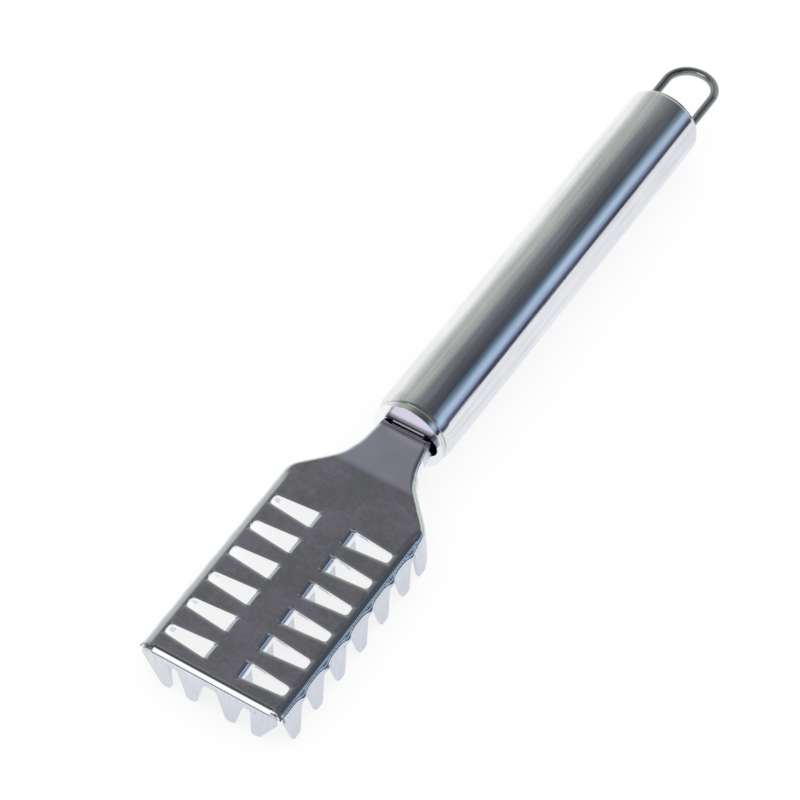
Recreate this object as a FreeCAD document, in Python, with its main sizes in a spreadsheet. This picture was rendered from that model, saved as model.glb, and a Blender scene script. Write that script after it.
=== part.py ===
import FreeCAD, Part
import math
import os

import Sketcher

# Fish scaler: a toothed head folded from one sheet, on a hollow round handle with a hanging loop.
# While it is modelled, the plate's top is z = 0, its front edge y = 0, and the handle runs to +Y.
# At the end every piece is turned and moved together, so that the tool rests on teeth and handle.

DRIVING_SIZES = (
    ("sheet", 1.0, "thickness of the head's sheet"),
    ("inner_bend", 0.5, "inner radius of every fold in it"),
    ("head_width", 37.6, "width over the side folds"),
    ("shoulder_run", 11.6, "length of the shoulder, from the sides' end to the neck"),
    ("shoulder_round", 7.0, "radius of the shoulder's outer corner"),
    ("neck_flare", 1.6, "how much wider the neck is on each side at the shoulder than at its end"),
    ("neck_round", 14.0, "radius of the corner between shoulder and neck"),
    ("neck_length", 10.6, "length of the neck, up to its folded end"),
    ("neck_rise", 1.4, "how much higher the neck's end is than the plate"),
    ("tang_length", 13.0, "length of the tang inside the handle"),
    ("skirt", 2.6, "depth of the folded edge, teeth left out"),
    ("tooth_reach", 11.2, "depth of the tooth tips below the plate's top"),
    ("side_splay", 4.8, "outward lean of the side teeth in degrees"),
    ("front_splay", 1.5, "forward lean of the front teeth in degrees"),
    ("tip_cut", 0.45, "cut at the corners of every tooth's tip"),
    ("root_round", 0.6, "rounding between two teeth"),
    ("side_first", 4.6, "middle of the first side tooth"),
    ("side_pitch", 8.94, "spacing of the side teeth"),
    ("side_count", 6, "even teeth along each side"),
    ("side_root", 6.6, "width of a side tooth at its root"),
    ("side_tip", 2.6, "width of a side tooth at its tip"),
    ("first_slant", 2.0, "slant of the first side tooth's front edge"),
    ("last_gap", 1.3, "gap between the even teeth and the last one"),
    ("last_slant", 0.9, "slant of the last side tooth's front edge"),
    ("last_tip", 2.6, "width of the last side tooth at its tip"),
    ("last_side", 5.4, "straight side behind the last tooth's front edge"),
    ("last_wrap", 1.1, "how far the last tooth follows the shoulder"),
    ("front_middle", 5.17, "middle of an inner front tooth, from the centre line"),
    ("front_root", 7.1, "width of an inner front tooth at its root"),
    ("front_tip", 2.3, "width of an inner front tooth at its tip"),
    ("outer_gap", 2.0, "gap between an inner and an outer front tooth"),
    ("outer_tip", 2.2, "width of an outer front tooth at its tip"),
    ("outer_top", 1.9, "depth at which its slanted edge starts"),
    ("corner_slit", 0.9, "gap between the front and side folds at a corner"),
    ("slit_top", 0.7, "depth at which that gap starts"),
    ("window_first", 6.9, "middle of the first window"),
    ("window_pitch", 8.36, "spacing of the windows"),
    ("window_count", 6, "windows in a row"),
    ("window_bridge", 7.2, "width of the plate left between the two rows"),
    ("window_margin", 2.95, "outer face of the side to the window's outer end"),
    ("window_wide", 4.5, "width of a window at its inner end"),
    ("window_narrow", 2.6, "width of a window at its outer end"),
    ("window_round", 0.9, "rounding of a window's outer corners"),
    ("punch_gap", 0.12, "gap between an inner tooth and its window"),
    ("inner_tip", 2.3, "width of an inner tooth at its tip"),
    ("inner_short", 0.3, "how much less deep the inner teeth are"),
    ("inner_lean", 5.0, "outward lean of the inner teeth in degrees"),
    ("crease_back", 4.9, "crease before the neck's inner corner"),
    ("crease_round", 60.0, "radius of the upward bend there"),
    ("axis_tilt", 1.0, "fall of the handle's axis against the plate in degrees, from the crease on"),
    ("axis_drop", 1.2, "handle's axis below the tang's top"),
    ("seat_depth", 0.4, "neck's end behind the plug's face"),
    ("tube_length", 117.6, "length of the handle tube"),
    ("tube_width", 20.0, "outer diameter of the handle tube"),
    ("tube_wall", 0.6, "wall of the handle tube"),
    ("end_roll", 1.7, "length over which each end of the tube is drawn in"),
    ("end_drop", 0.57, "how far each end of the tube is drawn in"),
    ("cap_sheet", 0.8, "sheet of the plug and the cap"),
    ("cap_rim", 1.1, "how far the plug and the cap stand out of the tube"),
    ("rim_flat", 0.15, "straight part of their rims beside the tube"),
    ("cap_skirt", 7.0, "length of their skirts inside the tube"),
    ("cap_play", 0.05, "clearance between a skirt and the tube"),
    ("neck_play", 1.68, "neck's side to the plug's skirt, looking along the handle"),
    ("slot_play", 1.6, "neck's side to the end of its slot"),
    ("slot_height", 7.6, "height of the slot for neck and tang"),
    ("slot_flat", 0.3, "half the straight part at each end of the slot"),
    ("lip_inset", 0.2, "lip's side to the start of the slot's corner"),
    ("lip_run", 5.5, "length over which a lip slants to the tang"),
    ("lip_flat", 4.5, "length of a lip that lies on the tang"),
    ("wire", 2.0, "diameter of the loop's wire"),
    ("wire_play", 0.1, "clearance round the wire in the cap"),
    ("loop_inset", 0.48, "wire's side to the cap's skirt"),
    ("loop_reach", 20.4, "reach of the loop's middle line past the tube"),
    ("loop_round", 6.3, "bend of the loop's end"),
    ("leg_inside", 4.0, "length of the legs inside the cap"),
)
CLEAR = 0.01
BEYOND = 1.5


class Measure:
    """A number together with the spreadsheet expression that gives it."""

    def __init__(self, number, text):
        self.number = number
        self.text = text

    @staticmethod
    def of(value):
        if isinstance(value, Measure):
            return value
        return Measure(float(value), "(%s)" % value)

    def join(self, other, sign, number):
        return Measure(number, "(%s %s %s)" % (self.text, sign, other.text))

    def __add__(self, other):
        other = Measure.of(other)
        return self.join(other, "+", self.number + other.number)

    def __sub__(self, other):
        other = Measure.of(other)
        return self.join(other, "-", self.number - other.number)

    def __mul__(self, other):
        other = Measure.of(other)
        return self.join(other, "*", self.number * other.number)

    def __truediv__(self, other):
        other = Measure.of(other)
        return self.join(other, "/", self.number / other.number)

    def __neg__(self):
        return Measure(-self.number, "(-1 * %s)" % self.text)


def tangent(angle):
    return Measure(math.tan(math.radians(angle.number)), "tan(%s)" % angle.text)


def cosine(angle):
    return Measure(math.cos(math.radians(angle.number)), "cos(%s)" % angle.text)


document = FreeCAD.newDocument("fish_scaler")
sheet_of_sizes = document.addObject("Spreadsheet::Sheet", "size")
for row, (alias, number, meaning) in enumerate(DRIVING_SIZES, start=1):
    sheet_of_sizes.set("A%d" % row, meaning)
    sheet_of_sizes.set("B%d" % row, str(number))
    sheet_of_sizes.setAlias("B%d" % row, alias)
document.recompute()


def size(alias):
    return Measure(float(sheet_of_sizes.get(alias)), "size.%s" % alias)


def origin_part(body, role):
    return next(part for part in body.Origin.OriginFeatures if part.Role == role)


def add_chain(sketch, corners, closed=True):
    """Draw lines through the corners. A corner is (x, y) or (x, y, radius), bound to the sheet."""
    count = len(corners)
    places = [FreeCAD.Vector(Measure.of(corner[0]).number, Measure.of(corner[1]).number, 0)
              for corner in corners]
    radii = [corner[2].number if len(corner) > 2 else 0.0 for corner in corners]
    ahead = [(places[(i + 1) % count] - places[i]).normalize() for i in range(count)]
    turns = [math.atan2(ahead[i - 1].cross(ahead[i]).z, ahead[i - 1].dot(ahead[i]))
             for i in range(count)]
    trims = [radii[i] * math.tan(abs(turns[i]) / 2) for i in range(count)]
    first = sketch.GeometryCount
    lines = count if closed else count - 1
    for i in range(lines):
        start = places[i] + ahead[i] * trims[i]
        end = places[(i + 1) % count] - ahead[i] * trims[(i + 1) % count]
        sketch.addGeometry(Part.LineSegment(start, end))
    rules = []
    bound = []

    def pin(geometry, point, corner):
        for kind, value in (("DistanceX", corner[0]), ("DistanceY", corner[1])):
            value = Measure.of(value)
            bound.append((len(rules), value.text))
            rules.append(Sketcher.Constraint(kind, -1, 1, geometry, point, value.number))

    for i, corner in enumerate(corners):
        before = first + (i - 1) % count
        after = first + i
        if not closed and i == 0:
            pin(after, 1, corner)
        elif not closed and i == count - 1:
            pin(before, 2, corner)
        elif not radii[i]:
            rules.append(Sketcher.Constraint("Coincident", before, 2, after, 1))
            pin(after, 1, corner)
        else:
            side = 1 if turns[i] > 0 else -1
            entry = places[i] - ahead[i - 1] * trims[i]
            leave = places[i] + ahead[i] * trims[i]
            inward = FreeCAD.Vector(-ahead[i - 1].y, ahead[i - 1].x, 0) * side
            centre = entry + inward * radii[i]
            ends = (entry, leave) if side > 0 else (leave, entry)
            angles = [math.atan2(end.y - centre.y, end.x - centre.x) for end in ends]
            circle = Part.Circle(centre, FreeCAD.Vector(0, 0, 1), radii[i])
            arc = sketch.addGeometry(Part.ArcOfCircle(circle, angles[0], angles[1]))
            point = sketch.addGeometry(Part.Point(places[i]), True)
            entry_end, leave_end = (1, 2) if side > 0 else (2, 1)
            rules.append(Sketcher.Constraint("PointOnObject", point, 1, before))
            rules.append(Sketcher.Constraint("PointOnObject", point, 1, after))
            pin(point, 1, corner)
            rules.append(Sketcher.Constraint("Tangent", before, 2, arc, entry_end))
            rules.append(Sketcher.Constraint("Tangent", arc, leave_end, after, 1))
            bound.append((len(rules), corner[2].text))
            rules.append(Sketcher.Constraint("Radius", arc, radii[i]))
    start = sketch.ConstraintCount
    sketch.addConstraint(rules)
    for index, text in bound:
        sketch.setExpression("Constraints[%d]" % (start + index), text)


def add_circle(sketch, across, along, radius):
    centre = FreeCAD.Vector(across.number, along.number, 0)
    circle = sketch.addGeometry(Part.Circle(centre, FreeCAD.Vector(0, 0, 1), radius.number))
    for kind, value in (("DistanceX", across), ("DistanceY", along)):
        rule = sketch.addConstraint(Sketcher.Constraint(kind, -1, 1, circle, 3, value.number))
        sketch.setExpression("Constraints[%d]" % rule, value.text)
    rule = sketch.addConstraint(Sketcher.Constraint("Radius", circle, radius.number))
    sketch.setExpression("Constraints[%d]" % rule, radius.text)


def new_sketch(body, name, plane, offset=None):
    sketch = body.newObject("Sketcher::SketchObject", name)
    sketch.AttachmentSupport = [(origin_part(body, plane), "")]
    sketch.MapMode = "FlatFace"
    if offset is not None:
        sketch.setExpression(".AttachmentOffset.Base.z", offset.text)
    sketch.Visibility = False
    return sketch


def outline(body, name, plane, loops, offset=None):
    sketch = new_sketch(body, name, plane, offset)
    for corners in loops:
        add_chain(sketch, corners)
    return sketch


def push(body, kind, name, sketch, length=None, symmetric=False, flipped=False):
    """Pad or pocket a sketch. With no length it goes through everything."""
    feature = body.newObject("PartDesign::" + kind, name)
    feature.Profile = sketch
    if symmetric:
        feature.SideType = "Symmetric"
    feature.Reversed = flipped
    if length is None:
        feature.Type = "ThroughAll"
    else:
        feature.setExpression("Length", Measure.of(length).text)
    return feature


def repeat(body, name, features, axis, spacing, count):
    pattern = body.newObject("PartDesign::LinearPattern", name)
    pattern.Originals = features
    pattern.Direction = (origin_part(body, axis), [""])
    pattern.Mode = "Spacing"
    pattern.setExpression("Offset", spacing.text)
    pattern.setExpression("Occurrences", count.text)
    body.Tip = pattern
    return pattern


def mirror_copy(body, name, features, plane):
    mirrored = body.newObject("PartDesign::Mirrored", name)
    mirrored.Originals = features
    mirrored.MirrorPlane = (origin_part(body, plane), [""])
    body.Tip = mirrored
    return mirrored


def round_edges(body, name, base, edges, radius):
    fillet = body.newObject("PartDesign::Fillet", name)
    fillet.Base = (base, edges)
    fillet.setExpression("Radius", radius.text)
    document.recompute()
    return fillet


def lean_faces(body, name, base, faces, angle):
    lean = body.newObject("PartDesign::Draft", name)
    lean.Base = (base, faces)
    lean.NeutralPlane = (origin_part(body, "XY_Plane"), [""])
    lean.setExpression("Angle", angle.text)
    document.recompute()
    return lean


def revolved(body, name, corners):
    """Turn a profile of (radius, y) corners about the body's own Y axis."""
    turn = body.newObject("PartDesign::Revolution", name)
    turn.Profile = outline(body, name + "_profile", "XY_Plane", [corners])
    turn.ReferenceAxis = (origin_part(body, "Y_Axis"), [""])
    turn.Angle = 360
    return turn


def named(shape, kind, test):
    """Names of the edges or faces of a shape for which the test holds."""
    found = getattr(shape, kind + "s")
    return ["%s%d" % (kind, i) for i, item in enumerate(found, start=1) if test(item)]


def left_of(corners):
    """The same corners on the other side of the centre line, in the order that closes a loop."""
    return [(-Measure.of(corner[0]),) + tuple(corner[1:]) for corner in reversed(corners)]


bend = size("sheet") + size("inner_bend")
half_width = size("head_width") / 2
skirt = -size("skirt")
reach = -size("tooth_reach")
inner_reach = reach + size("inner_short")
below = reach - BEYOND
last_root = size("side_first") + size("side_pitch") * (size("side_count") - 1) + size("side_root") / 2
last_front = last_root + size("last_gap")
shoulder_y = last_front + size("last_side")
neck_y = shoulder_y + size("shoulder_run")
crease_y = neck_y - size("crease_back")
tang_y = neck_y + size("neck_length")
tang_end = tang_y + size("tang_length")
face_y = tang_y - size("seat_depth")
tube_front = face_y + size("cap_rim")
tube_rear = tube_front + size("tube_length")
tube_radius = size("tube_width") / 2
end_radius = tube_radius - size("end_drop")
skirt_radius = end_radius - size("tube_wall") - size("cap_play")
cap_bore = skirt_radius - size("cap_sheet")
neck_half = cap_bore - size("neck_play")
slot_half = neck_half + size("slot_play")
slot_round = size("slot_height") / 2 - size("slot_flat")
wire_radius = size("wire") / 2
loop_half = cap_bore - size("loop_inset") - wire_radius


def neck_top(along):
    """Height of the neck's top at a place behind the crease."""
    return (along - crease_y) * size("neck_rise") / (tang_y - crease_y)


def tang_top(along):
    """Height of the tang's top, which is parallel to the handle's axis."""
    return (crease_y - along) * tangent(size("axis_tilt"))


def folded_blank(body):
    """The sheet with its edge folded down to full depth all round, still without teeth."""
    right_side = [(half_width, 0), (half_width, shoulder_y, size("shoulder_round")),
                  (neck_half + size("neck_flare"), neck_y, size("neck_round")), (neck_half, tang_y)]
    over = size("neck_rise") * 2
    sketch = outline(body, "plate_outline", "XY_Plane", [right_side + left_of(right_side)], over)
    block = push(body, "Pad", "block", sketch, size("tooth_reach") + over, flipped=True)
    document.recompute()
    front = named(block.Shape, "Face", lambda face: face.BoundBox.YMax < CLEAR)
    sides = named(block.Shape, "Face", lambda face: face.BoundBox.ZLength > bend.number
                  and CLEAR < face.BoundBox.YMax and face.BoundBox.YMin < tang_y.number - CLEAR)
    block = lean_faces(body, "side_lean", block, sides, size("side_splay"))
    lean_faces(body, "front_lean", block, front, size("front_splay"))
    past_end = tang_y + BEYOND
    above = [(-BEYOND, 0), (crease_y, 0, size("crease_round")), (past_end, neck_top(past_end)),
             (past_end, over + BEYOND), (-BEYOND, over + BEYOND)]
    sketch = outline(body, "top_line", "YZ_Plane", [above])
    block = push(body, "Pocket", "top_cut", sketch, symmetric=True)
    document.recompute()
    rim = named(block.Shape, "Edge", lambda edge: edge.BoundBox.ZMin > -CLEAR
                and (edge.BoundBox.YLength > CLEAR or edge.BoundBox.YMax < CLEAR
                     or edge.BoundBox.YMin > tang_y.number - CLEAR))
    block = round_edges(body, "rim_fold", block, rim, bend)
    open_faces = named(block.Shape, "Face", lambda face: face.BoundBox.ZMax < reach.number + CLEAR)
    hollow = body.newObject("PartDesign::Thickness", "sheet_wall")
    hollow.Base = (block, open_faces)
    hollow.setExpression("Value", size("sheet").text)
    hollow.Reversed = True
    hollow.Join = "Arc"


def side_teeth(body):
    """Cut the gaps between the side teeth, in both sides at once, and the edge behind the last."""
    root_round = size("root_round")
    gap_front = size("side_first") + size("side_root") / 2
    gap_back = size("side_first") + size("side_pitch") - size("side_root") / 2
    tip_front = size("side_first") + size("side_tip") / 2
    tip_back = size("side_first") + size("side_pitch") - size("side_tip") / 2
    gap = [(gap_front, skirt, root_round), (gap_back, skirt, root_round),
           (tip_back, reach), (tip_back, below), (tip_front, below), (tip_front, reach)]
    sketch = outline(body, "side_gap", "YZ_Plane", [gap])
    cut = push(body, "Pocket", "side_gap_cut", sketch, symmetric=True)
    repeat(body, "side_gaps", [cut], "Y_Axis", size("side_pitch"), size("side_count") - 1)
    last_tip_front = last_front + size("last_slant")
    last_tip_back = last_tip_front + size("last_tip")
    last_row_tip = last_root - (size("side_root") - size("side_tip")) / 2
    last_gap = [(last_root, skirt, root_round), (last_front, skirt, root_round),
                (last_tip_front, reach), (last_tip_front, below),
                (last_row_tip, below), (last_row_tip, reach)]
    wrap_y = shoulder_y + size("last_wrap")
    depth = reach - skirt
    slant = wrap_y - last_tip_back
    past_end = tang_y + BEYOND
    behind = [(wrap_y, skirt), (past_end, skirt), (past_end, below),
              (last_tip_back, below), (last_tip_back, reach),
              (wrap_y - slant * 0.4, skirt + depth * 0.75), (wrap_y - slant * 0.15, skirt + depth * 0.35)]
    sketch = outline(body, "rear_edge", "YZ_Plane", [last_gap, behind])
    push(body, "Pocket", "rear_edge_cut", sketch, symmetric=True)


def tang(body):
    """End the neck's rear fold at the flat tang, which runs on into the handle."""
    fold_y = tang_y - size("sheet")
    past_end = tang_y + BEYOND
    under = -size("sheet")
    sketch = outline(body, "fold_end", "YZ_Plane", [[
        (fold_y, under + tang_top(fold_y)), (past_end, under + tang_top(past_end)),
        (past_end, below), (fold_y, below)]])
    push(body, "Pocket", "fold_end_cut", sketch, symmetric=True)
    sketch = outline(body, "tang_side", "YZ_Plane", [[
        (fold_y, tang_top(fold_y)), (fold_y, under + tang_top(fold_y)),
        (tang_end, under + tang_top(tang_end)), (tang_end, tang_top(tang_end))]])
    push(body, "Pad", "flat_tang", sketch, (neck_half - size("sheet")) * 2, symmetric=True)


def front_teeth(body):
    """Cut the gaps between the front teeth and the free corner beside the outer ones."""
    root_round = size("root_round")
    middle = size("front_middle")
    root = size("front_root") / 2
    tip = size("front_tip") / 2
    outer = middle + root + size("outer_gap")
    outer_tip = outer + size("outer_tip")
    centre_gap = [(middle - root, skirt, root_round), (middle - tip, reach), (middle - tip, below)]
    side_gap = [(outer, skirt, root_round), (outer, below), (middle + tip, below),
                (middle + tip, reach), (middle + root, skirt, root_round)]
    free_corner = [(half_width + BEYOND, -size("outer_top")), (half_width + BEYOND, below),
                   (outer_tip, below), (outer_tip, reach), (half_width - 0.4, -size("outer_top"))]
    loops = [centre_gap + left_of(centre_gap)]
    for corners in (side_gap, free_corner):
        loops.append(corners)
        loops.append(left_of(corners))
    sketch = outline(body, "front_gaps", "XZ_Plane", loops)
    push(body, "Pocket", "front_gaps_cut", sketch, (size("sheet") + 0.15) * 2, symmetric=True)


def free_corners(body):
    """Part the front fold from the side folds and slant the first side tooth's front edge."""
    edge = size("side_first") - size("side_root") / 2
    slanted = [(edge, skirt), (-BEYOND, skirt), (-BEYOND, below),
               (edge + size("first_slant"), below), (edge + size("first_slant"), reach)]
    sketch = outline(body, "first_edge", "YZ_Plane", [slanted], half_width - size("sheet") - 0.1)
    first = push(body, "Pocket", "first_edge_cut", sketch, size("sheet") * 4, flipped=True)
    half = size("corner_slit") / 2
    inside = size("sheet") * 2.2
    slit = [(half_width - inside - half, inside - half), (half_width + BEYOND - half, -half - BEYOND),
            (half_width + BEYOND + half, half - BEYOND), (half_width - inside + half, inside + half)]
    sketch = outline(body, "corner_slit_outline", "XY_Plane", [slit], -size("slit_top"))
    second = push(body, "Pocket", "corner_slit_cut", sketch)
    mirror_copy(body, "left_corner", [first, second], "YZ_Plane")


def windows_and_inner_teeth(body):
    """Two rows of windows, each with the tooth that was cut from it and folded down."""
    start = size("window_bridge") / 2
    leg = start + bend
    wide = size("window_wide") / 2
    narrow = size("window_narrow") / 2
    end = half_width - size("window_margin")
    first = size("window_first")
    window = [(start, first - wide), (leg, first - wide), (end, first - narrow, size("window_round")),
              (end, first + narrow, size("window_round")), (leg, first + wide), (start, first + wide)]
    sketch = outline(body, "windows", "XY_Plane", [window, left_of(window)])
    window_cut = push(body, "Pocket", "window_cut", sketch, bend)
    lean = tangent(size("inner_lean"))
    outer_line = leg - lean * bend
    inner_line = outer_line - size("sheet") / cosine(size("inner_lean"))
    tip_z = inner_reach
    tooth = [(start - 0.3, 0), (start - 0.3, -size("sheet")),
             (inner_line + lean * size("sheet"), -size("sheet")),
             (inner_line - lean * tip_z, tip_z), (outer_line - lean * tip_z, tip_z),
             (outer_line, 0, bend)]
    sketch = outline(body, "inner_teeth", "XZ_Plane", [tooth, left_of(tooth)], -first)
    width = size("window_wide") - size("punch_gap") * 2
    tooth_pad = push(body, "Pad", "inner_tooth", sketch, width, symmetric=True)
    tip = size("inner_tip") / 2
    taper = [(first + width / 2, -bend), (first + tip, tip_z), (first + tip, below),
             (first + wide, below), (first + wide, -bend)]
    back = [(first - width / 2, -bend), (first - wide, -bend), (first - wide, below),
            (first - tip, below), (first - tip, tip_z)]
    sketch = outline(body, "inner_taper", "YZ_Plane", [taper, back])
    reach_across = (outer_line - lean * tip_z + 0.3) * 2
    taper_cut = push(body, "Pocket", "inner_taper_cut", sketch, reach_across, symmetric=True)
    repeat(body, "inner_rows", [window_cut, tooth_pad, taper_cut], "Y_Axis",
           size("window_pitch"), size("window_count"))


def blunted_tips(body):
    """Take the corners off every tooth's tip, but for the last side teeth, which wrap the shoulder."""
    document.recompute()
    solid = body.Tip
    tips = (reach.number, inner_reach.number)
    thick = size("sheet").number * 1.3
    corners = named(solid.Shape, "Edge", lambda edge: edge.Length < thick and edge.BoundBox.ZLength < CLEAR
                    and edge.BoundBox.YMax < last_front.number
                    and min(abs(edge.BoundBox.ZMax - tip) for tip in tips) < CLEAR)
    cut = body.newObject("PartDesign::Chamfer", "tooth_tips")
    cut.Base = (solid, corners)
    cut.setExpression("Size", size("tip_cut").text)


def scaler_head():
    body = document.addObject("PartDesign::Body", "scaler_head")
    folded_blank(body)
    side_teeth(body)
    tang(body)
    front_teeth(body)
    free_corners(body)
    windows_and_inner_teeth(body)
    blunted_tips(body)
    return body


def handle_tube():
    body = document.addObject("PartDesign::Body", "handle_tube")
    wall = size("tube_wall")
    roll = size("end_roll")
    outside = [(end_radius, tube_front), (tube_radius, tube_front + roll),
               (tube_radius, tube_rear - roll), (end_radius, tube_rear)]
    inside = [(end_radius - wall, tube_rear), (tube_radius - wall, tube_rear - roll),
              (tube_radius - wall, tube_front + roll), (end_radius - wall, tube_front)]
    revolved(body, "tube", outside + inside)
    return body


def cup(body, name, seam, inward):
    """A shallow drawn cup that closes one end of the tube; inward is +1 or -1 along Y."""
    rim = size("cap_rim") * inward
    sheet = size("cap_sheet") * inward
    length = size("cap_skirt") * inward
    turn = size("cap_rim") - size("rim_flat")
    part_turn = turn * (1 - math.sqrt(0.5))
    revolved(body, name, [
        (0, seam - rim), (end_radius - turn, seam - rim),
        (end_radius - part_turn, seam - rim + part_turn * inward),
        (end_radius, seam - rim + turn * inward), (end_radius, seam),
        (skirt_radius, seam), (skirt_radius, seam + length), (cap_bore, seam + length),
        (cap_bore, seam - rim + sheet), (0, seam - rim + sheet)])


def front_plug():
    body = document.addObject("PartDesign::Body", "front_plug")
    cup(body, "plug", tube_front, 1)
    half_height = size("slot_height") / 2
    slot = [(slot_half, half_height, slot_round), (slot_half, -half_height, slot_round)]
    sketch = outline(body, "slot", "XZ_Plane", [slot + left_of(slot)], -face_y)
    push(body, "Pocket", "slot_cut", sketch, size("cap_sheet"))
    sheet = size("cap_sheet")
    seat_top = size("axis_drop")
    seat_under = seat_top - size("sheet")
    slant_end = face_y + size("lip_run")
    lip_end = slant_end + size("lip_flat")
    lips = []
    for edge, seat, out in ((half_height, seat_top, 1), (-half_height, seat_under, -1)):
        thick = sheet * out
        lips.append([(face_y, edge), (slant_end, seat), (lip_end, seat), (lip_end, seat + thick),
                     (slant_end, seat + thick), (face_y + sheet, edge + thick * 0.8),
                     (face_y + sheet, edge + thick), (face_y, edge + thick)])
    sketch = outline(body, "lips", "YZ_Plane", lips)
    width = (slot_half - slot_round - size("lip_inset")) * 2
    push(body, "Pad", "lip_pads", sketch, width, symmetric=True)
    return body


def rear_cap():
    body = document.addObject("PartDesign::Body", "rear_cap")
    cup(body, "cap", tube_rear, -1)
    sketch = new_sketch(body, "wire_holes", "XZ_Plane", -(tube_rear + size("cap_rim")))
    for across in (loop_half, -loop_half):
        add_circle(sketch, across, Measure.of(0), wire_radius + size("wire_play"))
    push(body, "Pocket", "wire_holes_cut", sketch, size("cap_rim"), flipped=True)
    return body


def hanging_loop():
    """One half of the wire, from its end inside the cap to the middle, and its mirror image."""
    body = document.addObject("PartDesign::Body", "hanging_loop")
    cap_inside = tube_rear + size("cap_rim") - size("cap_sheet")
    leg_end = cap_inside - size("leg_inside")
    end_y = tube_rear + size("loop_reach")
    path = new_sketch(body, "wire_path", "XY_Plane")
    add_chain(path, [(loop_half, leg_end), (loop_half, end_y, size("loop_round")), (0, end_y)], closed=False)
    section = new_sketch(body, "wire_section", "XZ_Plane", -leg_end)
    add_circle(section, loop_half, Measure.of(0), wire_radius)
    half = body.newObject("PartDesign::AdditivePipe", "half_loop")
    half.Profile = section
    half.Spine = path
    mirror_copy(body, "other_half", [half], "YZ_Plane")
    return body


def turned(angle, centre_y=0.0):
    """A turn about a line across the tool, positive lifting the handle."""
    rotation = FreeCAD.Rotation(FreeCAD.Vector(1, 0, 0), angle)
    return FreeCAD.Placement(FreeCAD.Vector(), rotation, FreeCAD.Vector(0, centre_y, 0))


tang_turn = turned(-size("axis_tilt").number, crease_y.number)
on_axis = tang_turn.multiply(FreeCAD.Placement(FreeCAD.Vector(0, 0, -size("axis_drop").number),
                                               FreeCAD.Rotation()))
pieces = [(scaler_head(), FreeCAD.Placement())]
for make in (handle_tube, front_plug, rear_cap, hanging_loop):
    pieces.append((make(), on_axis))
document.recompute()

# The tool lies on the tips of the front teeth and on the rear of the tube.
tooth_tip = FreeCAD.Vector(0, -size("tooth_reach").number * tangent(size("front_splay")).number, reach.number)
tube_heel = on_axis.multVec(FreeCAD.Vector(0, (tube_rear - size("end_roll")).number, -tube_radius.number))
rest_tilt = math.degrees(math.atan2(tooth_tip.z - tube_heel.z, tube_heel.y - tooth_tip.y))
rest_turn = turned(rest_tilt)
loop_end = on_axis.multVec(FreeCAD.Vector(0, (tube_rear + size("loop_reach") + wire_radius).number, 0))
front_most = rest_turn.multVec(tooth_tip)
rear_most = rest_turn.multVec(loop_end)
middle = FreeCAD.Vector(0, (front_most.y + rear_most.y) / 2, front_most.z)
rest = FreeCAD.Placement(-middle, FreeCAD.Rotation()).multiply(rest_turn)
for piece, place in pieces:
    piece.Label = piece.Name
    piece.Placement = rest.multiply(place)
document.recompute()

for item in document.Objects:
    if "Invalid" in item.State or "Error" in item.State:
        raise RuntimeError("%s failed" % item.Label)
for piece, place in pieces:
    if piece.Shape.isNull() or not piece.Shape.isValid() or len(piece.Shape.Solids) != 1:
        raise RuntimeError("%s is no sound solid" % piece.Label)
os.makedirs("parts", exist_ok=True)
for piece, place in pieces:
    piece.Shape.exportStep("parts/%s.step" % piece.Label)
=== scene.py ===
import math

import bmesh
import bpy
from mathutils import Matrix, Vector


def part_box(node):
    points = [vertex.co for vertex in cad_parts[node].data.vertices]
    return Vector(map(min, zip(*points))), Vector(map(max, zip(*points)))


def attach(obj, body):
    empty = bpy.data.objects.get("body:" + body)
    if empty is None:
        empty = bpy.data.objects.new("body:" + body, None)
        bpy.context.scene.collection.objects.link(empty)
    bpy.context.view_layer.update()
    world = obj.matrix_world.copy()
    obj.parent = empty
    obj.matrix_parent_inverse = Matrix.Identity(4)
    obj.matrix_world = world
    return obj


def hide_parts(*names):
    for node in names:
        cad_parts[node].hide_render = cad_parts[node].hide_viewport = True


mm = 0.001

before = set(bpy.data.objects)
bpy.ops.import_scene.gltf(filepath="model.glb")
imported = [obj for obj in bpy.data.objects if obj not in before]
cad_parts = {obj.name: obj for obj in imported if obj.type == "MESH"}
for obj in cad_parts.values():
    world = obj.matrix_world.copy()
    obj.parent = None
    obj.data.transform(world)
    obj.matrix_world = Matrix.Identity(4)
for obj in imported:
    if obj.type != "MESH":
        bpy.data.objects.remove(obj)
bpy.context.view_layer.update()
bpy.context.scene.view_settings.view_transform = "Standard"

# How finely round pieces are made.
SIDES = 128
ARC_STEPS = 6
DRAW_STEPS = 8
BEND_STEPS = 16
SLOT_STEPS = 10
SMOOTH_ANGLE = math.radians(35)

# The handle, measured along its axis from its middle.
TUBE_HALF = 58.8 * mm
TUBE_RADIUS = 10.0 * mm
END_RADIUS = 9.43 * mm
TUBE_WALL = 0.6 * mm
TUBE_LIP = 0.18 * mm
END_GAP = 0.15 * mm
FRONT_SEAT = 58.4 * mm
FRONT_ROLL = 3.0 * mm
REAR_SEAT = 59.25 * mm
REAR_ROLL = 0.57 * mm
HANDLE_FALL = math.radians(0.334)

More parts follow.
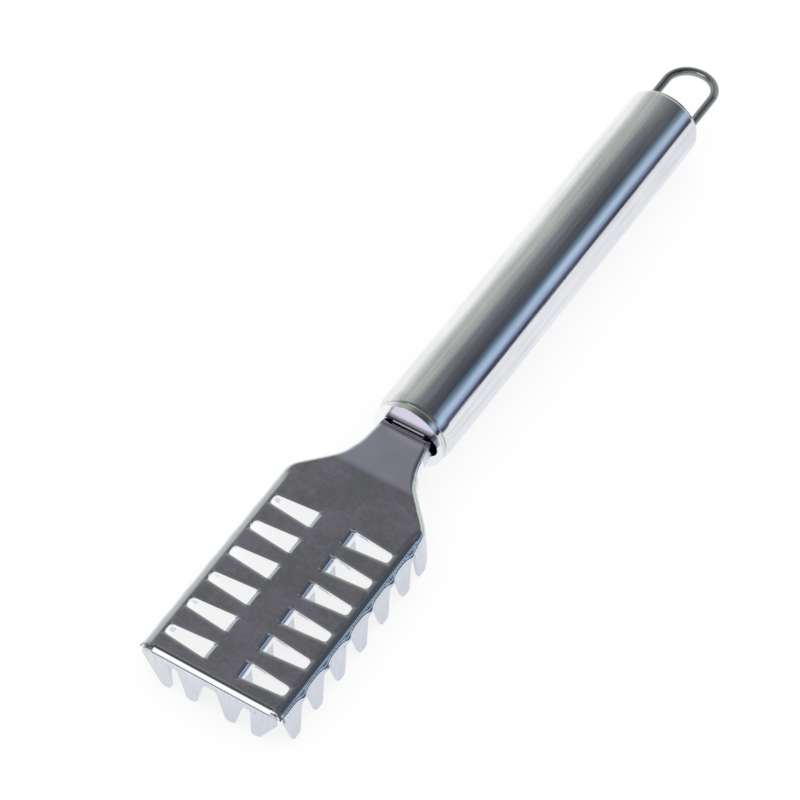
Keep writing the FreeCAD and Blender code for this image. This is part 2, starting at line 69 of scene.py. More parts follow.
# The plug and the cap in the tube's ends, and the plug's slot and lips.
CAP_RIM = 1.1 * mm
CAP_SHEET = 0.8 * mm
CAP_SKIRT = 7.0 * mm
CAP_BORE = 7.98 * mm
CAP_PLAY = 0.05 * mm
CAP_ROUND = 0.1 * mm
RIM_ROUND = 0.12 * mm
RIM_WIDTH = 0.22 * mm
FACE = TUBE_HALF + CAP_RIM
SLOT_LEFT = 7.2 * mm
SLOT_RIGHT = 7.9 * mm
SLOT_TOP = 3.4 * mm
SLOT_BOTTOM = 3.8 * mm
SLOT_ROUND = 3.5 * mm
SLOT_EDGE = 0.14 * mm
FACE_RADIUS = 8.3 * mm
LIP_HALF = 4.2 * mm
LIP_RUN = 5.5 * mm
LIP_FLAT = 4.5 * mm
SEAT_TOP = 1.2 * mm
SEAT_BOTTOM = 0.2 * mm

# The wire loop.
WIRE_RADIUS = 1.1 * mm
WIRE_PLAY = 0.1 * mm
WIRE_CHAMFER = 0.25 * mm
WIRE_POINT = 0.2 * mm
LOOP_HALF = 6.5 * mm
LOOP_ROUND = 6.3 * mm
LOOP_END = TUBE_HALF + 20.3 * mm
LEG_END = FACE - CAP_SHEET - 4.0 * mm

# The head, measured across, back from the plate's front edge, and down from the plate's top.
PLATE_FRONT = Vector((0, -110.511 * mm, 11.203 * mm))
PLATE_TILT = math.radians(0.666)
SKIRT = 2.6 * mm
TOOTH_PITCH = 8.94 * mm
FIRST_GAP = 9.07 * mm
EVEN_GAPS = 5
LAST_GAP = 53.25 * mm
SIDES_END = 59.0 * mm
SIDES_FADE = 4.0 * mm
CORNER_FADE = 2.0 * mm
SIDE_INSIDE = 15.4 * mm
SIDE_BEND = 17.4 * mm
SIDE_FACE = 18.8 * mm
FOLD = 1.5 * mm
EDGE_BEVEL = 0.07 * mm
SOFTER = 0.37 * mm
SOFT_REACH = 2.1 * mm
DROOP = 0.12 * mm
DROOP_DEPTH = 8.0 * mm
WAVE_OUT = 0.42 * mm
WAVE_UP = 0.7 * mm
WAVE_RUN = 3.0 * mm
WAVE_INSIDE = 0.5 * mm
WAVE_WIDTH = 1.1 * mm
WAVE_TOP = 0.3 * mm
WAVE_DEPTH = 2.6 * mm
LEFT_WAVE = 0.3
NECK_START = 66.0 * mm
NECK_END = 70.9 * mm
NECK_WIDER = 0.5 * mm
NECK_MIDDLE = 5.0 * mm
RIGHT_NECK = 0.5
SLICE_DOWN = 0.3 * mm
SLICE_ALONG = 0.5 * mm
SLICE_FINE = 0.25 * mm

# The windows in the plate, for the rolled-in bump of their edges and the painted sheen and painted reflection
# there.
WINDOW_FIRST = 6.9 * mm
WINDOW_PITCH = 8.36 * mm
WINDOW_START = 5.1 * mm
WINDOW_END = 15.85 * mm
WINDOW_INNER = 2.25 * mm
WINDOW_TAPER = 0.0884
ROLLOVER = 1.2 * mm

tube_low, tube_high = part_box("handle_tube")
tube_middle = (Vector(tube_low) + Vector(tube_high)) / 2


class Signal:
    """A shader socket that can stand in a sum as a number can."""

    def __init__(self, nodes, socket):
        self.nodes = nodes
        self.socket = socket

    def joined(self, operation, first, second=None):
        values = [first] if second is None else [first, second]
        return self.nodes.add("ShaderNodeMath", {"operation": operation}, dict(enumerate(values)))

    def __add__(self, other):
        return self.joined("ADD", self, other)

    __radd__ = __add__

    def __sub__(self, other):
        return self.joined("SUBTRACT", self, other)

    def __rsub__(self, other):
        return self.joined("SUBTRACT", other, self)

    def __mul__(self, other):
        return self.joined("MULTIPLY", self, other)

    __rmul__ = __mul__

    def __truediv__(self, other):
        return self.joined("DIVIDE", self, other)

    def power(self, other):
        return self.joined("POWER", self, other)

    def size(self):
        return self.joined("ABSOLUTE", self)


class Nodes:
    """The nodes of one material or of the world."""

    def __init__(self, owner):
        owner.use_nodes = True
        self.tree = owner.node_tree
        self.tree.nodes.clear()

    def add(self, kind, settings=None, sockets=None, output=0):
        node = self.tree.nodes.new(kind)
        for name, value in (settings or {}).items():
            if name == "stops":
                ramp = node.color_ramp
                while len(ramp.elements) < len(value):
                    ramp.elements.new(0.5)
                for element, (place, colour) in zip(ramp.elements, value):
                    element.position = place
                    element.color = colour
            else:
                setattr(node, name, value)
        for name, value in (sockets or {}).items():
            if isinstance(value, Signal):
                self.tree.links.new(value.socket, node.inputs[name])
            else:
                node.inputs[name].default_value = value
        return Signal(self, node.outputs[output])

    def finish(self, surface, kind="ShaderNodeOutputMaterial"):
        end = self.tree.nodes.new(kind)
        self.tree.links.new(surface.socket, end.inputs["Surface"])

    def step(self, value, low, high, smooth=True):
        """0 below low and 1 above high, with a soft change between."""
        settings = {"interpolation_type": "SMOOTHSTEP" if smooth else "LINEAR"}
        return self.add("ShaderNodeMapRange", settings, {0: value, 1: low, 2: high, 3: 0.0, 4: 1.0})

    def between(self, value, low, high, soft):
        return self.step(value, low - soft, low + soft) * (1 - self.step(value, high - soft, high + soft))

    def blend(self, amount, first, second):
        """first where amount is 0, second where it is 1, for colours."""
        return self.add("ShaderNodeMix", {"data_type": "RGBA"}, {0: amount, 6: first, 7: second}, output=2)

    def split(self, vector):
        node = self.add("ShaderNodeSeparateXYZ", sockets={0: vector}).socket.node
        return [Signal(self, node.outputs[i]) for i in range(3)]

    def noise(self, place, scale, detail=2.0, roughness=0.5):
        return self.add("ShaderNodeTexNoise", {}, {"Vector": place, "Scale": scale, "Detail": detail,
                                                   "Roughness": roughness})

    def stretched(self, place, factors):
        return self.add("ShaderNodeVectorMath", {"operation": "MULTIPLY"}, {0: place, 1: factors})

    def object_place(self):
        return self.add("ShaderNodeTexCoord", output=3)

    def facing(self):
        """The surface's direction, as three signals from -1 to 1."""
        return self.split(self.add("ShaderNodeTexCoord", output=1))

    def bump(self, strength, distance, height, sockets=None):
        values = {"Strength": strength, "Distance": distance, "Height": height}
        return self.add("ShaderNodeBump", {}, {**values, **(sockets or {})})


def grey(level):
    return (level, level, level, 1.0)


def finish_metal(nodes, colour, roughness, normal):
    sockets = {"Base Color": colour, "Roughness": roughness, "Metallic": 1.0, "Normal": normal}
    nodes.finish(nodes.add("ShaderNodeBsdfPrincipled", {}, sockets))


def tumbled_sheet():
    """Stainless sheet: a satin plate whose upward-facing top is painted darker, with folds, teeth and window
    walls painted brighter, a neck painted lighter, painted sheen round the rolled-in window edges, and painted
    shade at the front corners and near the neck's rear fold.
    """
    material = bpy.data.materials.new("tumbled_sheet")
    nodes = Nodes(material)
    place = nodes.object_place()
    cloud = nodes.noise(place, 110.0, 4.0, 0.6)
    mottle = nodes.noise(place, 900.0, 2.0)
    drawn = nodes.noise(nodes.stretched(place, (1500.0, 1500.0, 180.0)), 1.0, 3.0)
    crossed = nodes.noise(nodes.stretched(place, (2600.0, 420.0, 2600.0)), 1.0, 2.0)
    across, along, up = nodes.split(place)
    along = along - PLATE_FRONT.y

    nearest = nodes.add("ShaderNodeMath", {"operation": "PINGPONG"},
                        {0: along - (WINDOW_FIRST - WINDOW_PITCH / 2), 1: WINDOW_PITCH / 2})
    beside = WINDOW_PITCH / 2 - nearest
    half = WINDOW_INNER - (across.size() - WINDOW_START) * WINDOW_TAPER
    lengthwise = (across.size() - (WINDOW_START + WINDOW_END) / 2).size() - (WINDOW_END - WINDOW_START) / 2
    outside = nodes.add("ShaderNodeMath", {"operation": "MAXIMUM"}, {0: beside - half, 1: lengthwise})
    rolled = (1 - nodes.step(outside, -0.1 * mm, ROLLOVER, smooth=False)).power(2.0)
    rolled = rolled * (1 - nodes.step(along, 52.5 * mm, 53.5 * mm))

    # Painted shade and painted highlight: the upward-facing top takes the darker colour, and the folds, teeth
    # and walls, which face sideways, take the brighter one. The top is also rougher, a satin finish.
    upward = nodes.facing()[2]
    top = nodes.step(upward, 0.965, 0.998)
    # Painted reflection: behind the crease, the neck's top is painted a lighter lilac than the rest of the
    # top.
    neck = nodes.step(along, 65.5 * mm, 67.5 * mm)
    matt = nodes.blend(nodes.step(cloud * 0.6 + mottle * 0.4, 0.36, 0.64), (0.262, 0.26, 0.272, 1),
                       (0.352, 0.322, 0.382, 1))
    matt = nodes.blend(neck, matt, nodes.blend(cloud, (0.44, 0.43, 0.51, 1), (0.6, 0.58, 0.7, 1)))
    bright = nodes.blend(drawn * 0.7 + cloud * 0.3, (0.53, 0.56, 0.61, 1), (0.76, 0.77, 0.81, 1))
    # Painted reflection: the walls of the windows are painted near white.
    painted_wall_light = (1 - nodes.step(outside, 0.05 * mm, 0.12 * mm)) * (1 - nodes.step(upward.size(), 0.3, 0.6))
    painted_wall_light = painted_wall_light * nodes.step(along, 3.0 * mm, 3.5 * mm) * nodes.step(up, 8.8 * mm, 9.2 * mm)
    bright = nodes.blend(painted_wall_light, bright, (0.93, 0.93, 0.95, 1))
    # Painted sheen: round the rolled-in window edges, the top takes up to 0.7 of the brighter colour.
    colour = nodes.blend(top * (1 - rolled * 0.7), bright, matt)
    # Painted shade: the sheet's front corners are painted nearly black.
    painted_corner_shade = nodes.step(across.size(), 17.7 * mm, 18.5 * mm) * (1 - nodes.step(along, 0.9 * mm, 1.9 * mm))
    painted_corner_shade = painted_corner_shade * nodes.step(up, 8.5 * mm, 9.2 * mm)
    # Painted shade: a band across the neck near its rear end, before its fold, is painted nearly black.
    painted_fold_shade = nodes.step(along, 78.6 * mm, 79.8 * mm) * (1 - nodes.step(along, 80.5 * mm, 80.8 * mm))
    colour = nodes.blend(painted_corner_shade * 0.7 + painted_fold_shade * 0.75, colour, (0.05, 0.05, 0.065, 1))
    roughness = 0.07 + 0.06 * cloud + top * 0.1 + 0.03 * mottle

    marks = drawn * 0.4 + crossed * 0.35 + mottle * 0.25
    fine = nodes.bump(0.07, 0.1 * mm, marks)
    finish_metal(nodes, colour, roughness, nodes.bump(1.0, -0.14 * mm, rolled * top, {"Normal": fine}))
    return material


def polished_tube():
    """Polished tube, with very fine marks round it and a few hairlines."""
    material = bpy.data.materials.new("polished_tube")
    nodes = Nodes(material)
    place = nodes.object_place()
    cloud = nodes.noise(place, 45.0, 3.0)
    rings = nodes.noise(nodes.stretched(place, (40.0, 4200.0, 40.0)), 1.0, 2.0)
    hairs = nodes.step(nodes.noise(nodes.stretched(place, (900.0, 14.0, 900.0)), 1.0, 2.0), 0.62, 0.72)
    streaks = nodes.noise(nodes.stretched(place, (1300.0, 30.0, 1300.0)), 1.0, 4.0, 0.65)
    uneven = nodes.noise(nodes.stretched(place, (260.0, 22.0, 260.0)), 1.0, 2.0)
    colour = nodes.blend(nodes.step(streaks * 0.6 + cloud * 0.4, 0.33, 0.67), (0.67, 0.675, 0.69, 1),
                         (0.83, 0.83, 0.84, 1))
    roughness = 0.08 + 0.05 * cloud + 0.05 * streaks + 0.05 * hairs
    marks = nodes.bump(0.06, 0.1 * mm, rings * 0.4 + streaks * 0.6 + hairs * 0.5)
    finish_metal(nodes, colour, roughness, nodes.bump(1.0, 0.05 * mm, uneven, {"Normal": marks}))
    return material


def polished_plug():
    """The plug's and the cap's bright faces, with faint swirls from buffing; the faces are painted brighter
    and the outward-facing rims darker and olive.
    """
    material = bpy.data.materials.new("polished_plug")
    nodes = Nodes(material)
    place = nodes.object_place()
    cloud = nodes.noise(place, 260.0, 3.0)
    swirl = nodes.noise(nodes.stretched(place, (500.0, 2400.0, 2400.0)), 1.0, 2.0)
    # Painted highlight and painted shade: surfaces facing along the handle take the brighter face colour, and
    # those facing outward take the darker olive rim colour.
    lengthways = nodes.facing()[1].size()
    face = nodes.blend(cloud, (0.86, 0.86, 0.9, 1), (0.95, 0.95, 0.97, 1))
    rim = nodes.blend(cloud, (0.6, 0.62, 0.57, 1), (0.76, 0.77, 0.74, 1))
    colour = nodes.blend(nodes.step(lengthways, 0.2, 0.7), rim, face)
    finish_metal(nodes, colour, 0.06 + 0.08 * cloud, nodes.bump(0.05, 0.1 * mm, swirl))
    return material


def polished_wire():
    """Drawn wire, darker in its fine lengthwise marks."""
    material = bpy.data.materials.new("polished_wire")
    nodes = Nodes(material)
    place = nodes.object_place()
    cloud = nodes.noise(place, 220.0, 3.0)
    drawn = nodes.noise(nodes.stretched(place, (1400.0, 90.0, 1400.0)), 1.0, 2.0)
    colour = nodes.blend(cloud * 0.6 + drawn * 0.4, (0.2, 0.22, 0.2, 1), (0.42, 0.42, 0.43, 1))
    finish_metal(nodes, colour, 0.08 + 0.08 * cloud, nodes.bump(0.05, 0.1 * mm, drawn))
    return material


def pick(piece):
    """Make a piece the active one and the only one selected."""
    bpy.ops.object.select_all(action="DESELECT")
    bpy.context.view_layer.objects.active = piece
    piece.select_set(True)


def edit(piece):
    pick(piece)
    bpy.ops.object.mode_set(mode="EDIT")


def leave_edit():
    bpy.ops.object.mode_set(mode="OBJECT")


def choose(piece, test):
    """In edit mode, select only those edges for which the test holds."""
    bpy.ops.mesh.select_mode(type="EDGE")
    bpy.ops.mesh.select_all(action="DESELECT")
    shape = bmesh.from_edit_mesh(piece.data)
    for edge in shape.edges:
        if test(edge):
            edge.select_set(True)
    shape.select_flush_mode()
    bmesh.update_edit_mesh(piece.data)


def add_modifier(piece, kind, **settings):
    modifier = piece.modifiers.new(kind.lower(), kind)
    for name, value in settings.items():
        setattr(modifier, name, value)
    pick(piece)
    bpy.ops.object.modifier_apply(modifier=modifier.name)


def finish_piece(piece, material, node):
    piece.data.materials.clear()
    piece.data.materials.append(material)
    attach(piece, "root")
    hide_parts(node)


def set_on_handle(piece):
    """Move a piece from the handle's own lengthwise frame to its place in the tool."""
    pick(piece)
    bpy.ops.object.transform_apply(location=True, rotation=True, scale=True)
    piece.rotation_euler = (-HANDLE_FALL, 0, 0)
    piece.location = tube_middle
    bpy.ops.object.transform_apply(location=True, rotation=True, scale=True)


def rounded(corners, closed=False):
    """Points along a line of (along, radius, rounding) corners, with each rounding as a short arc."""
    points = []
    count = len(corners)
    for i, (along, radius, rounding) in enumerate(corners):
        here = Vector((along, radius))
        if not rounding or (not closed and i in (0, count - 1)):
            points.append(here)
            continue
        before = (Vector(corners[i - 1][:2]) - here).normalized()
        after = (Vector(corners[(i + 1) % count][:2]) - here).normalized()
        half = before.angle(after) / 2
        centre = here + (before + after).normalized() * (rounding / math.sin(half))
        entry = here + before * (rounding / math.tan(half)) - centre
        leave = here + after * (rounding / math.tan(half)) - centre
        sweep = entry.angle(leave)
        for step in range(ARC_STEPS + 1):
            part = step / ARC_STEPS
            blend = entry * math.sin((1 - part) * sweep) + leave * math.sin(part * sweep)
            points.append(centre + blend / math.sin(sweep))
    return points


def turned(name, points, closed):
    """A piece turned about the handle's axis: one circle, extruded and resized from point to point."""
    bpy.ops.object.select_all(action="DESELECT")
    bpy.ops.mesh.primitive_circle_add(vertices=SIDES, radius=points[0].y, location=(0, points[0].x, 0),
                                      rotation=(math.pi / 2, 0, 0))
    piece = bpy.context.object
    piece.name = name
    edit(piece)
    bpy.ops.mesh.select_all(action="SELECT")
    path = points[1:] + points[:1] if closed else points[1:]
    last = points[0]
    for point in path:
        bpy.ops.mesh.extrude_edges_move(TRANSFORM_OT_translate={"value": (0, point.x - last.x, 0)})
        factor = point.y / last.y
        bpy.ops.transform.resize(value=(factor, 1, factor), center_override=(0, point.x, 0))
        last = point
    if not closed:
        bpy.ops.mesh.edge_face_add()
        start = points[0]
        middle = piece.matrix_world
        choose(piece, lambda edge: all(len(vert.link_faces) == 2 for vert in edge.verts)
               and all(abs((middle @ vert.co).y - start.x) < 1e-7 for vert in edge.verts))
        bpy.ops.mesh.edge_face_add()
    bpy.ops.mesh.select_all(action="SELECT")
    bpy.ops.mesh.remove_doubles(threshold=1e-6)
    bpy.ops.mesh.select_all(action="SELECT")
    bpy.ops.mesh.normals_make_consistent(inside=False)
    leave_edit()
    bpy.ops.object.transform_apply(location=True, rotation=True, scale=True)
    return piece


def smooth(piece):
    pick(piece)
    bpy.ops.object.shade_smooth_by_angle(angle=SMOOTH_ANGLE)
    add_modifier(piece, "WEIGHTED_NORMAL", keep_sharp=True, weight=80)


def cut_away(piece, cutter):
    add_modifier(piece, "BOOLEAN", object=cutter, operation="DIFFERENCE", solver="EXACT")
    bpy.data.objects.remove(cutter)


def build_tube(material):
    """The handle's tube, with both ends drawn in and the front one's lip turned round."""
    outside = []
    for side, seat, run in ((-1, FRONT_SEAT, FRONT_ROLL), (1, REAR_SEAT, REAR_ROLL)):
        drop = TUBE_RADIUS - END_RADIUS
        roll = (run ** 2 + drop ** 2) / (2 * drop)
        steep = math.asin(min(run / roll, 1))
        angles = [steep * step / DRAW_STEPS for step in range(DRAW_STEPS + 1)]
        arc = [(side * (seat - END_GAP - run + roll * math.sin(angle)),
                TUBE_RADIUS - roll * (1 - math.cos(angle)), 0) for angle in angles]
        if side < 0:
            arc[-1] = arc[-1][:2] + (TUBE_LIP,)
        outside += arc if side > 0 else arc[::-1]
    inside = [(along, radius - TUBE_WALL, rounding) for along, radius, rounding in reversed(outside)]
    tube = turned("tube", rounded(outside + inside, closed=True), closed=True)
    smooth(tube)
    set_on_handle(tube)
    finish_piece(tube, material, "handle_tube")


def end_cup(name, side, seat):
    """A drawn cup in one end of the tube: its skirt, its rim outside the tube and its face."""
    skirt_radius = END_RADIUS - TUBE_WALL - CAP_PLAY
    skirt_end = TUBE_HALF - CAP_SKIRT
    corners = [(FACE - CAP_SHEET, CAP_BORE, 0), (skirt_end, CAP_BORE, CAP_ROUND),
               (skirt_end, skirt_radius, CAP_ROUND), (seat, skirt_radius, 0), (seat, END_RADIUS, CAP_ROUND),
               (FACE, END_RADIUS, RIM_ROUND), (FACE, END_RADIUS - RIM_WIDTH, 0)]
    points = [Vector((point.x * side, point.y)) for point in rounded(corners)]
    return turned(name, points, closed=False)


def build_lip(slot_edge, seat, out):
    """A tongue of the plug's sheet, from the slot's edge to the tang's face and along it."""
    bpy.ops.object.select_all(action="DESELECT")
    bpy.ops.mesh.primitive_plane_add(size=1)
    lip = bpy.context.object
    edit(lip)
    bpy.ops.mesh.select_all(action="SELECT")
    bpy.ops.transform.resize(value=(2 * LIP_HALF, LIP_RUN, 1), center_override=(0, 0, 0))
    start = -FACE + CAP_SHEET * 0.5
    bpy.ops.transform.translate(value=(0, start + LIP_RUN / 2, slot_edge))
    choose(lip, lambda edge: all(vert.co.y > start + LIP_RUN / 2 for vert in edge.verts))
    bpy.ops.transform.translate(value=(0, 0, seat - slot_edge))
    bpy.ops.mesh.extrude_edges_move(TRANSFORM_OT_translate={"value": (0, LIP_FLAT, 0)})
    bpy.ops.mesh.select_all(action="SELECT")
    bpy.ops.mesh.normals_make_consistent(inside=False)
    leave_edit()
    add_modifier(lip, "SOLIDIFY", thickness=CAP_SHEET, offset=out)
    return lip


def build_plug(material):
    """The front plug, with the slot that the neck goes into and two lips on the tang."""
    plug = end_cup("plug", -1, FRONT_SEAT)
    bpy.ops.object.select_all(action="DESELECT")
    bpy.ops.mesh.primitive_cube_add(size=1)
    slot = bpy.context.object
    edit(slot)
    bpy.ops.mesh.select_all(action="SELECT")
    bpy.ops.transform.resize(value=(SLOT_LEFT + SLOT_RIGHT, 3 * CAP_SHEET, SLOT_TOP + SLOT_BOTTOM),
                             center_override=(0, 0, 0))
    bpy.ops.transform.translate(value=((SLOT_RIGHT - SLOT_LEFT) / 2, -FACE, (SLOT_TOP - SLOT_BOTTOM) / 2))
    choose(slot, lambda edge: abs(edge.verts[0].co.y - edge.verts[1].co.y) > CAP_SHEET)
    bpy.ops.mesh.bevel(offset=SLOT_ROUND, segments=SLOT_STEPS)
    leave_edit()
    cut_away(plug, slot)
    edit(plug)
    choose(plug, lambda edge: not edge.is_boundary and edge.calc_face_angle(0) > 1
           and all(abs(vert.co.y + FACE) < 1e-6 and vert.co.xz.length < FACE_RADIUS for vert in edge.verts))
    bpy.ops.mesh.bevel(offset=SLOT_EDGE, segments=3)
    leave_edit()
    smooth(plug)
    lips = [build_lip(SLOT_TOP, SEAT_TOP, 1), build_lip(-SLOT_BOTTOM, SEAT_BOTTOM, -1)]
    bpy.ops.object.select_all(action="DESELECT")
    for lip in lips:
        lip.select_set(True)
    plug.select_set(True)
    bpy.context.view_layer.objects.active = plug
    bpy.ops.object.join()
    set_on_handle(plug)
    finish_piece(plug, material, "front_plug")


def build_cap(material):
    """The rear cap, with two holes for the loop's legs."""
    cap = end_cup("cap", 1, REAR_SEAT)
    for across in (LOOP_HALF, -LOOP_HALF):
        bpy.ops.object.select_all(action="DESELECT")
        bpy.ops.mesh.primitive_cylinder_add(vertices=48, radius=WIRE_RADIUS + WIRE_PLAY, depth=4 * CAP_SHEET,
                                            location=(across, FACE, 0), rotation=(math.pi / 2, 0, 0))
        cut_away(cap, bpy.context.object)
    smooth(cap)
    set_on_handle(cap)
    finish_piece(cap, material, "rear_cap")


def build_loop(material):
    """The wire loop: a round end, extruded along one leg, spun round both bends and along the other."""
    bpy.ops.object.select_all(action="DESELECT")
    bpy.ops.mesh.primitive_circle_add(vertices=32, radius=WIRE_RADIUS, location=(LOOP_HALF, LEG_END, 0),
                                      rotation=(math.pi / 2, 0, 0), fill_type="NGON")
    loop = bpy.context.object
    loop.name = "loop"
    edit(loop)
    bpy.ops.mesh.select_all(action="SELECT")
    bpy.ops.mesh.inset(thickness=WIRE_CHAMFER)
    bpy.ops.transform.translate(value=(0, -WIRE_POINT, 0))
    choose(loop, lambda edge: edge.is_boundary)
    straight = LOOP_END - LOOP_ROUND - LEG_END
    bpy.ops.mesh.extrude_edges_move(TRANSFORM_OT_translate={"value": (0, straight, 0)})
    bend_y = LOOP_END - LOOP_ROUND
    bend_x = LOOP_HALF - LOOP_ROUND
    bpy.ops.mesh.spin(steps=BEND_STEPS, angle=-math.pi / 2, center=(bend_x, bend_y, 0), axis=(0, 0, 1))
    bpy.ops.mesh.extrude_edges_move(TRANSFORM_OT_translate={"value": (-2 * bend_x, 0, 0)})
    bpy.ops.mesh.spin(steps=BEND_STEPS, angle=-math.pi / 2, center=(-bend_x, bend_y, 0), axis=(0, 0, 1))
    bpy.ops.mesh.extrude_edges_move(TRANSFORM_OT_translate={"value": (0, -straight, 0)})
    bpy.ops.mesh.extrude_edges_move(TRANSFORM_OT_translate={"value": (0, -WIRE_POINT, 0)})
    factor = 1 - WIRE_CHAMFER / WIRE_RADIUS
    bpy.ops.transform.resize(value=(factor, 1, factor), center_override=(-LOOP_HALF, LEG_END - WIRE_POINT, 0))
    bpy.ops.mesh.edge_face_add()
    bpy.ops.mesh.select_all(action="SELECT")
    bpy.ops.mesh.remove_doubles(threshold=1e-6)
    bpy.ops.mesh.normals_make_consistent(inside=False)
    leave_edit()
    smooth(loop)
    set_on_handle(loop)
    finish_piece(loop, material, "hanging_loop")


def on_plate(place):
    """A point seen from the plate's front edge: across, back along the plate, and up from its top."""
    return Matrix.Rotation(-PLATE_TILT, 3, "X") @ (place - PLATE_FRONT)


def share(value, run):
    """0 up to 0, 1 from run on, and evenly rising between."""
    return min(max(value / run, 0), 1)


def wave(along):
    """1 at the middle of a gap between two side teeth, falling to 0 beside it."""
    gaps = [FIRST_GAP + TOOTH_PITCH * i for i in range(EVEN_GAPS)] + [LAST_GAP]
    nearest = min(abs(along - gap) for gap in gaps)
    return 0.5 + 0.5 * math.cos(math.pi * min(nearest / WAVE_RUN, 1))


def softer(inward, depth):
    """How far a fold's point sinks inward and down, so that the fold gets a wider, softer turn."""
    outward = FOLD - inward
    above = FOLD - depth
    turn = math.pi / 2
    if outward <= 0:
        angle, along = 0, outward
    elif above <= 0:
        angle, along = turn, turn * FOLD - above
    else:
        angle = math.atan2(outward, above)
        along = angle * FOLD
    off = min(abs(along - turn * FOLD / 2) / SOFT_REACH, 1)
    sunk = SOFTER * (1 - off ** 2) ** 2
    return sunk * math.sin(angle), sunk * math.cos(angle)


def shaped(place):
    """Where a point of the head goes: softer folds, drooping sides, waves and a wider neck's root."""
    depth = -place.z
    width = abs(place.x)
    side = math.copysign(1, place.x)
    moved = place.copy()
    before_end = share(SIDES_END - place.y, SIDES_FADE)

    inward, down = softer(SIDE_FACE - width, depth)
    side_share = share(place.y, CORNER_FADE) * before_end
    moved.x -= side * inward * side_share
    moved.z -= down * side_share
    inward, down = softer(place.y, depth)
    front_share = share(SIDE_BEND - width, CORNER_FADE)
    moved.y += inward * front_share
    moved.z -= down * front_share

    if width > SIDE_INSIDE and place.y < NECK_START:
        inward = share(width - SIDE_INSIDE, SIDE_BEND - SIDE_INSIDE)
        moved.z -= DROOP * inward ** 2 * before_end * max(0, 1 - depth / DROOP_DEPTH)
    if width > SIDE_BEND - WAVE_INSIDE and depth > WAVE_TOP:
        rising = share(depth - WAVE_TOP, SKIRT - WAVE_TOP) * share(width - SIDE_BEND + WAVE_INSIDE, WAVE_WIDTH)
        falling = (1 - share(depth - SKIRT, WAVE_DEPTH)) ** 2
        pull = wave(place.y) * falling * rising * (1 if side > 0 else LEFT_WAVE)
        moved.x += side * WAVE_OUT * pull
        moved.z += WAVE_UP * pull
    if place.y > NECK_START:
        back = share(place.y - NECK_START, NECK_END - NECK_START)
        wider = NECK_WIDER * (1 if side < 0 else RIGHT_NECK)
        moved.x += side * wider * back ** 2 * min(width / NECK_MIDDLE, 1)
    return moved


def build_head(material):
    """The head, from the solid's sheet: sliced finely, then shaped point by point, with its edges bevelled."""
    head = bpy.data.objects.new("head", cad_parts["scaler_head"].data.copy())
    bpy.context.scene.collection.objects.link(head)
    edit(head)
    bpy.ops.mesh.select_all(action="SELECT")
    bpy.ops.mesh.remove_doubles(threshold=1e-6)
    turn = Matrix.Rotation(PLATE_TILT, 3, "X")
    cuts = [((0, 0, -SLICE_DOWN * i), (0, 0, 1)) for i in range(1, 18)]
    cuts += [((0, SLICE_FINE * i, 0), (0, 1, 0)) for i in range(6, 10)]
    cuts += [((0, SLICE_ALONG * i, 0), (0, 1, 0)) for i in range(5, 164)]
    cuts += [((side * (SIDE_INSIDE + SLICE_FINE * i), 0, 0), (1, 0, 0)) for i in range(9) for side in (-1, 1)]
    for place, normal in cuts:
        bpy.ops.mesh.select_all(action="SELECT")
        bpy.ops.mesh.bisect(plane_co=PLATE_FRONT + turn @ Vector(place), plane_no=turn @ Vector(normal))
    shape = bmesh.from_edit_mesh(head.data)
    for vert in shape.verts:
        vert.co = PLATE_FRONT + turn @ shaped(on_plate(vert.co))
    bmesh.update_edit_mesh(head.data)
    leave_edit()
    add_modifier(head, "BEVEL", width=EDGE_BEVEL, segments=2, limit_method="ANGLE",
                 angle_limit=math.radians(50), use_clamp_overlap=False)
    smooth(head)
    finish_piece(head, material, "scaler_head")


def build_camera():
    """The photograph's view, from in front of the head, above it and to its right."""
    data = bpy.data.cameras.new("photo_camera")
    data.lens = 148.5
    data.sensor_width = 36.0
    data.clip_start = 0.05
    data.clip_end = 50.0
    camera = bpy.data.objects.new("photo_camera", data)
    camera.location = (0.246454, -0.428399, 0.611067)
    camera.rotation_euler = [math.radians(angle) for angle in (38.6204, -0.3567, 32.3842)]
    bpy.context.scene.collection.objects.link(camera)
    bpy.context.scene.camera = camera


def build_floor():
    """A plain pale floor that the tool lies on."""
    bpy.ops.object.select_all(action="DESELECT")
    bpy.ops.mesh.primitive_plane_add(size=6.0, location=(0, 0, -0.2 * mm))
    floor = bpy.context.object
    floor.name = "floor"
    material = bpy.data.materials.new("pale_floor")
    nodes = Nodes(material)
    path = nodes.add("ShaderNodeLightPath").socket.node
    seen = Signal(nodes, path.outputs["Is Camera Ray"])
    mirrored = Signal(nodes, path.outputs["Is Glossy Ray"])
    matt = nodes.add("ShaderNodeBsdfDiffuse", {}, {"Color": grey(0.25)})
    across = nodes.split(nodes.object_place())[0]
    tint = nodes.blend(mirrored * nodes.step(across, -0.03, 0.03), grey(1.0), (0.86, 0.88, 0.93, 1))
    glow = nodes.add("ShaderNodeEmission", {}, {"Color": tint, "Strength": seen * 0.78 + mirrored * 0.85})
    nodes.finish(nodes.add("ShaderNodeAddShader", {}, {0: matt, 1: glow}))
    floor.data.materials.append(material)


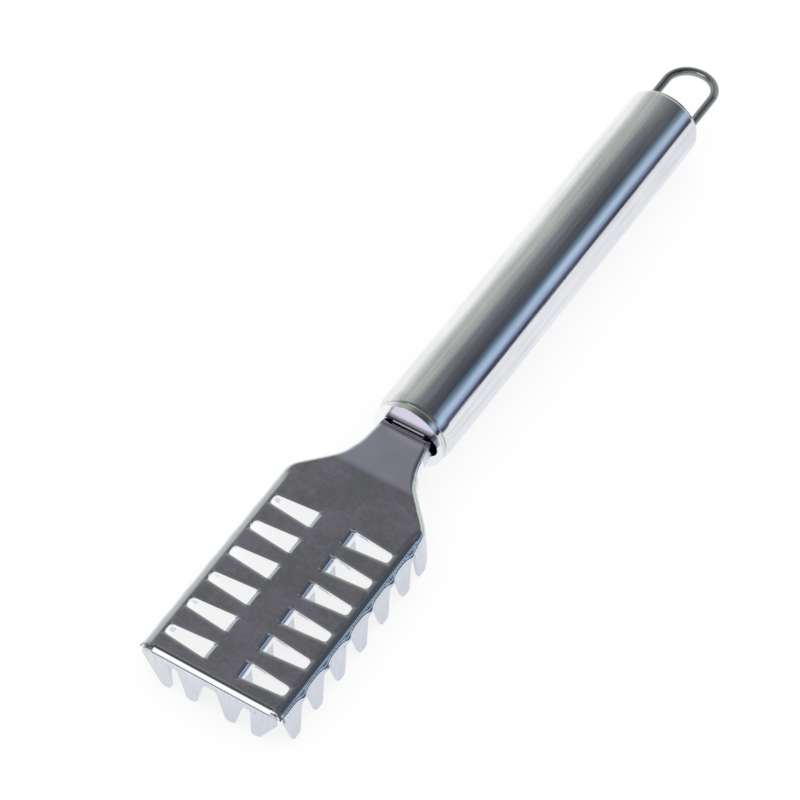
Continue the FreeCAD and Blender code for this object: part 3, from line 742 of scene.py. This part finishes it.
# What the round handle mirrors: each angle about the handle, in degrees from straight up, and its colour.
AROUND = (
    (-180, (1.0, 1.0, 0.97)), (-90, (1.15, 1.15, 1.12)), (-83, (1.0, 1.01, 1.0)), (-71, (0.78, 0.8, 0.82)),
    (-59, (0.55, 0.58, 0.55)), (-47, (0.52, 0.56, 0.51)), (-35, (0.49, 0.53, 0.49)), (-23, (0.39, 0.41, 0.41)),
    (-11, (0.22, 0.23, 0.25)), (1, (0.17, 0.18, 0.2)), (13, (0.11, 0.115, 0.135)), (25, (0.08, 0.085, 0.105)),
    (38, (0.06, 0.075, 0.105)), (49, (0.17, 0.27, 0.37)), (60, (0.51, 0.68, 0.9)), (67, (0.5, 0.63, 0.87)),
    (74, (0.3, 0.36, 0.52)), (81, (0.04, 0.045, 0.08)), (91, (0.05, 0.06, 0.11)), (96, (0.6, 0.66, 0.76)),
    (180, (0.85, 0.88, 0.92)),
)


def build_studio():
    """Plain white light, with the soft panels and dark gaps that the polished metal mirrors."""
    world = bpy.data.worlds.new("studio")
    bpy.context.scene.world = world
    nodes = Nodes(world)
    across, along, up = nodes.split(nodes.add("ShaderNodeTexCoord", output=0))
    roll = nodes.add("ShaderNodeMath", {"operation": "ARCTAN2"}, {0: across, 1: up}) / (2 * math.pi) + 0.5
    stops = [((angle + 180) / 360, colour + (1.0,)) for angle, colour in AROUND]
    around = nodes.add("ShaderNodeValToRGB", {"stops": stops}, {0: roll})
    height = nodes.add("ShaderNodeMath", {"operation": "ARCSINE"}, {0: up}) * math.degrees(1)
    wall = nodes.step(along, 0.62, 0.8) * nodes.step(up, 0.0, 0.15)
    colour = nodes.blend(wall, around, (0.8, 0.9, 0.74, 1))
    ahead = along * -1
    front = nodes.step(ahead, 0.2, 0.6) * 0.55
    colour = nodes.blend(front, colour, (0.7, 0.72, 0.75, 1))
    overhead = nodes.step(ahead, -0.07, 0.03) * (1 - nodes.step(ahead, 0.3, 0.45)) * nodes.step(up, 0.3, 0.7)
    colour = nodes.blend(overhead, colour, (0.1, 0.105, 0.09, 1))
    panel = nodes.step(ahead, -0.05, 0.25) * nodes.between(height, 14.0, 57.0, 3.0)
    panel = panel * nodes.between(across, -0.55, -0.15, 0.05)
    colour = nodes.blend(panel, colour, (1.5, 1.47, 1.42, 1))
    gap = nodes.step(ahead, 0.2, 0.4) * nodes.between(height, -2.0, 10.0, 1.0)
    colour = nodes.blend(gap, colour, grey(0.03))
    path = nodes.add("ShaderNodeLightPath").socket.node
    colour = nodes.blend(Signal(nodes, path.outputs["Is Glossy Ray"]), grey(1.0), colour)
    back = nodes.add("ShaderNodeBackground", {}, {"Color": colour, "Strength": 1.0})
    nodes.finish(back, "ShaderNodeOutputWorld")


build_camera()
build_floor()
build_studio()

build_head(tumbled_sheet())
tube_finish = polished_tube()
build_tube(tube_finish)
plug_finish = polished_plug()
build_plug(plug_finish)
build_cap(plug_finish)
build_loop(polished_wire())
